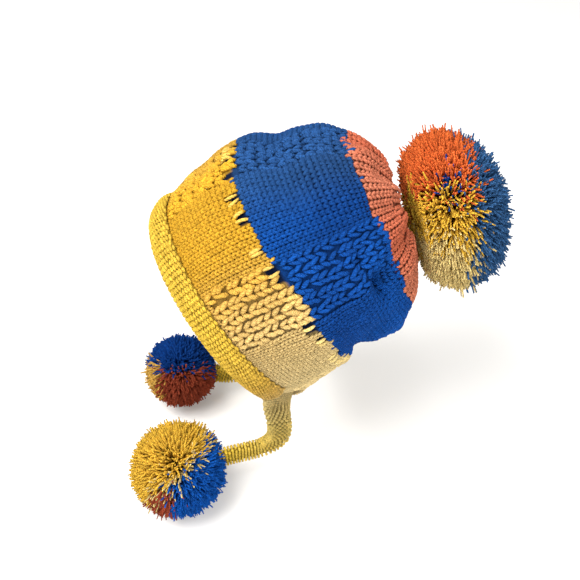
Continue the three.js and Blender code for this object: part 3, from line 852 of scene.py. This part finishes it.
def tie_surface(side, route, length):
    """A tie: the strap's section carried along its route, with its thin way kept across the head."""
    shares = np.array(route)
    places = np.stack([side * shares[:, 1], -shares[:, 0], -shares[:, 2]], axis=-1) * length
    path = rope_route(flap_tip(side) + places)
    ahead = unit(np.gradient(path, axis=0))
    thin = unit(np.array([side, 0, 0]) - ahead * ahead[:, :1] * side)
    wide = np.cross(thin, ahead) * side
    across, through = strap_section(STRAP_SAMPLES)
    grid = (path[None] + wide[None] * across[:, None, None] * TIE_WIDTH / 2
            + thin[None] * through[:, None, None] * TIE_THICKNESS / 2)
    return outward_surface(grid, 0.0, 1.0)


def purl_places(surface, across_step, along_step, first, last):
    """Places of purl bumps in a brick pattern: rows along the surface, and in each as many as fit around."""
    middle = np.linspace(first, last, 80)
    around, along = np.meshgrid(np.arange(49) / 48, middle, indexing="ij")
    grid = surface.at(around, along, 0 * along)
    girth = np.linalg.norm(np.diff(grid, axis=0), axis=-1).sum(axis=0)
    travelled = np.linalg.norm(np.diff(grid, axis=1), axis=-1).mean(axis=0)
    length = np.concatenate([[0], np.cumsum(travelled)])
    rows = max(int(length[-1] / along_step), 1)
    row_lengths = (np.arange(rows) + 0.5) / rows * length[-1]
    alongs = np.interp(row_lengths, length, middle)
    counts = np.maximum(np.round(np.interp(alongs, middle, girth) / across_step), 6).astype(int)
    around = np.concatenate([(np.arange(count) + 0.5 * (row % 2)) / count
                             for row, count in enumerate(counts)])
    return around, np.repeat(alongs, counts)


def purl_bumps(name, surface, node, places, long_way, size, lift, shades, rng):
    """Short rounded bars of yarn, bowed out and a little askew. long_way is 0 around and 1 along."""
    around, along = places
    length, radius = size
    wide, high = share_lengths(surface, around, along)
    share = np.linspace(-0.5, 0.5, 4)
    reach = share[None, :] * length * (1 + 0.08 * rng.standard_normal((len(around), 1)))
    tilt = 0.12 * rng.standard_normal((len(around), 1)) * reach
    aside = (reach if long_way == 0 else tilt) / wide[:, None]
    ahead = (tilt if long_way == 0 else reach) / high[:, None]
    hump = np.cos(math.pi * share)[None, :]
    out = lift + 0.5 * radius * hump + 0 * aside
    thickness = 1 + 0.07 * rng.standard_normal(len(around))
    radii = radius * swelling(np.maximum(hump, 0)) * thickness[:, None]
    return looped_yarn(name, surface, node, [around[:, None] + aside, along[:, None] + ahead, out],
                       radii, shades, STITCH_SIDES)


def brim_colour(degrees, chance):
    """The brim's yellow: gold in front, straw on the sides and cream at the back."""
    away = np.abs(degrees - 5)
    front = blended(LEMON, STRAW, smooth(away, 60, 120))
    return blended(front, CREAM, smooth(away, 90, 140)) * uneven(chance)


def cover_roll(name, node, start_degrees, end_degrees, seed):
    """A rolled brim: a ground darkened as painted shade between the bumps, and a brick pattern of purl bumps
    that lie along the roll.
    """
    rng = np.random.default_rng(SEED + seed)
    surface = roll_surface(start_degrees, end_degrees)

    def ground(around, along):
        # Painted shade: the brim's yellow darkened under and between the bumps
        return brim_colour(along * 360, np.full(around.shape, 0.5)) * PAINTED_GROUND_SHADE

    backing(name + "_ground", surface, node, GROUND_DEPTH, 40, 160, ground)
    margin = 0.002 * (surface.last - surface.first)
    around, along = purl_places(surface, *ROLL_BUMP_STEPS, surface.first + margin, surface.last - margin)
    shown = (around < ROLL_HIDDEN_FROM) | (around > ROLL_HIDDEN_TO)
    around = around[shown]
    along = along[shown]
    chance = rng.random(len(around))
    shades = brim_colour(along * 360, chance)
    purl_bumps(name + "_bumps", surface, node, (around, along), 1, ROLL_BUMP_SIZE,
               ROLL_BUMP_LIFT, shades, rng)


def cover_strap(name, surface, node, first_colour, last_colour, seed):
    """A flap or tie: a ground darkened as painted shade between the bumps, and rows of purl bumps across it,
    from one colour to another.
    """
    rng = np.random.default_rng(SEED + seed)

    def ground(around, along):
        # Painted shade: the strap's colours darkened under and between the bumps
        return blended(first_colour, last_colour, along) * PAINTED_GROUND_SHADE

    backing(name + "_ground", surface, node, GROUND_DEPTH, 40, 60, ground)
    around, along = purl_places(surface, *STRAP_BUMP_STEPS, 0.01, 0.99)
    chance = rng.random(len(around))
    shades = blended(first_colour, last_colour, along) * uneven(chance)
    purl_bumps(name + "_bumps", surface, node, (around, along), 0, STRAP_BUMP_SIZE,
               STRAP_BUMP_LIFT, shades, rng)


CAMERA_AZIMUTH = 80.0
CAMERA_ELEVATION = 46.0
CAMERA_DISTANCE = 720.0
CAMERA_TARGET = np.array([0.0, 51.0, 6.0])
FOCAL_PIXELS = 790.0
PHOTO_PIXELS = 580.0
SENSOR = 36.0


def way_towards(azimuth, elevation):
    """The unit vector towards an azimuth, turned from the forehead's side, and an elevation, in degrees."""
    turn = math.radians(azimuth)
    rise = math.radians(elevation)
    return np.array([math.sin(turn) * math.cos(rise), -math.cos(turn) * math.cos(rise), math.sin(rise)])


def camera_axes():
    """Unit vectors from the target to the camera, to the right of the picture and up the picture."""
    turn = math.radians(CAMERA_AZIMUTH)
    back = way_towards(CAMERA_AZIMUTH, CAMERA_ELEVATION)
    right = np.array([math.cos(turn), math.sin(turn), 0.0])
    return back, right, np.cross(back, right)


def even_directions(count, rng):
    """Directions spread evenly over a ball on a golden-angle spiral, in a shuffled order.

    They are moved together by small cubes of the ball, which makes tufts, and then each a little by itself.
    """
    height = 1 - 2 * (np.arange(count) + 0.5) / count
    turn = np.arange(count) * math.pi * (3 - math.sqrt(5))
    level = np.sqrt(1 - height ** 2)
    ways = np.stack([level * np.cos(turn), level * np.sin(turn), height], axis=-1)
    clump = rng.standard_normal((count // 9 + 1, 3)) * 0.05
    order = rng.permutation(count)
    cells = np.floor(ways * 6).astype(int) @ np.array([1, 17, 289])
    tuft = clump[np.mod(cells, len(clump))]
    return unit(ways + tuft + 0.085 * rng.standard_normal(ways.shape))[order]


def strands(name, node, centre, axis, radius, half_thickness, seat, count, colour_at, seed):
    """A pompom: strands of yarn from its core whose ends bend aside and down, flat where it is seated."""
    rng = np.random.default_rng(SEED + seed)
    ways = even_directions(count, rng)
    sideways = unit(np.cross(ways, rng.standard_normal(ways.shape)))
    share = np.linspace(0, 1, STRAND_RINGS)[None, :, None]
    length = 1 + 0.055 * rng.standard_normal((count, 1, 1)) + 0.12 * (rng.random((count, 1, 1)) > 0.975)
    bend = 0.30 * rng.random((count, 1, 1)) ** 1.5
    local = ways[:, None] * (0.36 + 0.62 * share * length) + sideways[:, None] * bend * share ** 2
    along_axis = local @ axis
    flat = local - along_axis[..., None] * axis
    along_axis = np.maximum(along_axis * half_thickness, -seat)
    points = centre + flat * radius + along_axis[..., None] * axis
    points[..., 2] -= (0.05 * radius * share ** 2)[..., 0]
    shade = 0.8 + 0.4 * rng.random(count)
    colours = colour_at(ways, rng) * shade[:, None]
    # Painted shade: each strand's colour runs from dark at its root, deep inside the pompom, to light at its
    # tip
    depth = np.array([0.26, 0.72, 1.3, 1.55])
    painted_depth_shades = colours[:, None, None, :] * depth[None, :, None, None]
    shades = np.broadcast_to(painted_depth_shades, (count, STRAND_RINGS, STRAND_SIDES, 3))
    thick = 1.2 * (0.8 + 0.4 * rng.random((count, 1)))
    radii = thick * np.array([[0.6, 1.0, 1.05, 0.55]])
    outward = unit(sideways + 0.3 * ways)[:, None] + 0 * points
    corners = tube_corners(points, outward, radii, STRAND_SIDES)
    faces = tube_faces(count, STRAND_RINGS, STRAND_SIDES)
    piece = make_piece(name, corners, faces, FLUFF, shades, tube_uvs(count, STRAND_RINGS, STRAND_SIDES))
    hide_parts(node)


def picture_place(ways, rng):
    """How far each way points to the right and up in the picture, with noise that frays the edges."""
    right, up = camera_axes()[1:]
    across = ways @ right + 0.09 * rng.standard_normal(len(ways))
    rise = ways @ up + 0.09 * rng.standard_normal(len(ways))
    return across, rise


def crown_colours(ways, rng):
    """Blue to the right of the picture, orange above, yellow and cream under it, and a small navy patch."""
    across, rise = picture_place(ways, rng)
    colour = np.where((rise > 0.06)[:, None], ORANGE, CANARY)
    colour = np.where((rise < -0.5)[:, None], PALE_YELLOW, colour)
    colour = np.where((across > 0.22)[:, None], DENIM, colour)
    patch = (across + 0.26) ** 2 + (rise - 0.2) ** 2 < 0.02
    return np.where(patch[:, None], NAVY, colour)


def left_colours(ways, rng):
    """Yellow to the upper left of the picture, blue to the lower right and rust along the lower left."""
    across, rise = picture_place(ways, rng)
    colour = np.where((across > -0.05)[:, None], ROYAL, BRICK)
    edge = np.abs(rise - across + 0.1) < 0.09
    colour = np.where(edge[:, None], PALE_YELLOW, colour)
    return np.where((rise - across > 0)[:, None], CANARY, colour)


def right_colours(ways, rng):
    """Navy in the upper half of the picture, rust below, and a thin tan edge to the left."""
    across, rise = picture_place(ways, rng)
    colour = np.where((rise > 0.05)[:, None], NAVY, BRICK)
    return np.where(((across < -0.55) & (rise < 0.25))[:, None], STRAW, colour)


def node_box(name):
    """The lowest and highest corner of a node of the frame, in millimetres."""
    low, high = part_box(name)
    return np.array(low) / MM, np.array(high) / MM


def cover_pompoms():
    """The three pompoms, at their nodes' places."""
    tilt = math.radians(CROWN_POMPOM_TILT)
    axis = np.array([0.0, math.cos(tilt), math.sin(tilt)])
    low, high = node_box("pompom_crown")
    middle = (low + high) / 2
    strands("crown_strands", "pompom_crown", middle, axis, CROWN_POMPOM_RADIUS,
            CROWN_POMPOM_HALF_THICKNESS, CROWN_POMPOM_SEAT, CROWN_STRANDS, crown_colours, 11)
    for name, node, slot, radius, colours, seed in [
            ("left_strands", "pompom_left", "pompom_yellow", LEFT_POMPOM_RADIUS, left_colours, 12),
            ("right_strands", "pompom_right", "pompom_blue", RIGHT_POMPOM_RADIUS, right_colours, 13)]:
        low, high = node_box(node)
        strands(name, node, (low + high) / 2, np.array([0.0, -1.0, 0.0]), radius, radius, radius,
                SIDE_STRANDS, colours, seed)


cover_ground()
cover_inside()
cover_stitches()
cover_lace()
cover_gaps()
cover_roll("front_roll", "rim_roll_front", -FLAP_FRONT_ANGLE, FLAP_FRONT_ANGLE, 3)
cover_roll("back_roll", "rim_roll_back", FLAP_BACK_ANGLE, 360 - FLAP_BACK_ANGLE, 4)
for side, word, route, length in [(1, "left", LEFT_TIE_ROUTE, LEFT_TIE_LENGTH),
                                  (-1, "right", RIGHT_TIE_ROUTE, RIGHT_TIE_LENGTH)]:
    cover_strap(word + "_flap", flap_surface(side), "ear_flap_" + word, CREAM, PALE_STRAW, 6 + side)
    cover_strap(word + "_tie", tie_surface(side, route, length), "tie_" + word, PALE_STRAW, GOLDEN, 8 + side)
cover_pompoms()


def soft_light(name, azimuth, elevation, distance, size, power):
    """A square lamp of a size in metres that faces the middle of the hat."""
    lamp = bpy.data.lights.new(name, "AREA")
    lamp.shape = "SQUARE"
    lamp.size = size
    lamp.energy = power
    holder = bpy.data.objects.new(name, lamp)
    way = way_towards(azimuth, elevation)
    holder.location = CAMERA_TARGET * MM + way * distance
    holder.rotation_euler = Vector(-way).to_track_quat("-Z", "Y").to_euler()
    bpy.context.scene.collection.objects.link(holder)


def make_studio():
    """A pale floor under the side pompoms, three soft lamps on the camera's side, and a white room."""
    floor_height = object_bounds()[0][2]
    size = 6.0
    mesh = bpy.data.meshes.new("floor")
    corners = [(-size, -size, floor_height), (size, -size, floor_height),
               (size, size, floor_height), (-size, size, floor_height)]
    mesh.from_pydata(corners, [], [(0, 1, 2, 3)])
    floor = bpy.data.objects.new("floor", mesh)
    paper = bpy.data.materials.new("paper")
    paper.use_nodes = True
    shader = paper.node_tree.nodes["Principled BSDF"]
    shader.inputs["Base Color"].default_value = (0.86, 0.85, 0.83, 1)
    shader.inputs["Roughness"].default_value = 0.9
    mesh.materials.append(paper)
    bpy.context.scene.collection.objects.link(floor)
    world = bpy.data.worlds.new("room")
    world.use_nodes = True
    background = world.node_tree.nodes["Background"]
    background.inputs["Color"].default_value = (1, 0.99, 0.97, 1)
    background.inputs["Strength"].default_value = 0.75
    bpy.context.scene.world = world
    soft_light("key", azimuth=20, elevation=62, distance=1.3, size=0.9, power=26)
    soft_light("fill", azimuth=125, elevation=35, distance=1.6, size=1.4, power=15)
    soft_light("front", azimuth=60, elevation=8, distance=1.7, size=1.0, power=7)


def make_camera():
    """The photograph's camera: its place from two angles and a distance, its lens from the focal length."""
    back = camera_axes()[0]
    data = bpy.data.cameras.new("camera")
    data.sensor_width = SENSOR
    data.lens = FOCAL_PIXELS * SENSOR / PHOTO_PIXELS
    camera = bpy.data.objects.new("camera", data)
    camera.location = (CAMERA_TARGET + back * CAMERA_DISTANCE) * MM
    camera.rotation_euler = Vector(-back).to_track_quat("-Z", "Y").to_euler()
    bpy.context.scene.collection.objects.link(camera)
    bpy.context.scene.camera = camera


make_studio()
make_camera()
bpy.context.scene.view_settings.view_transform = "Standard"
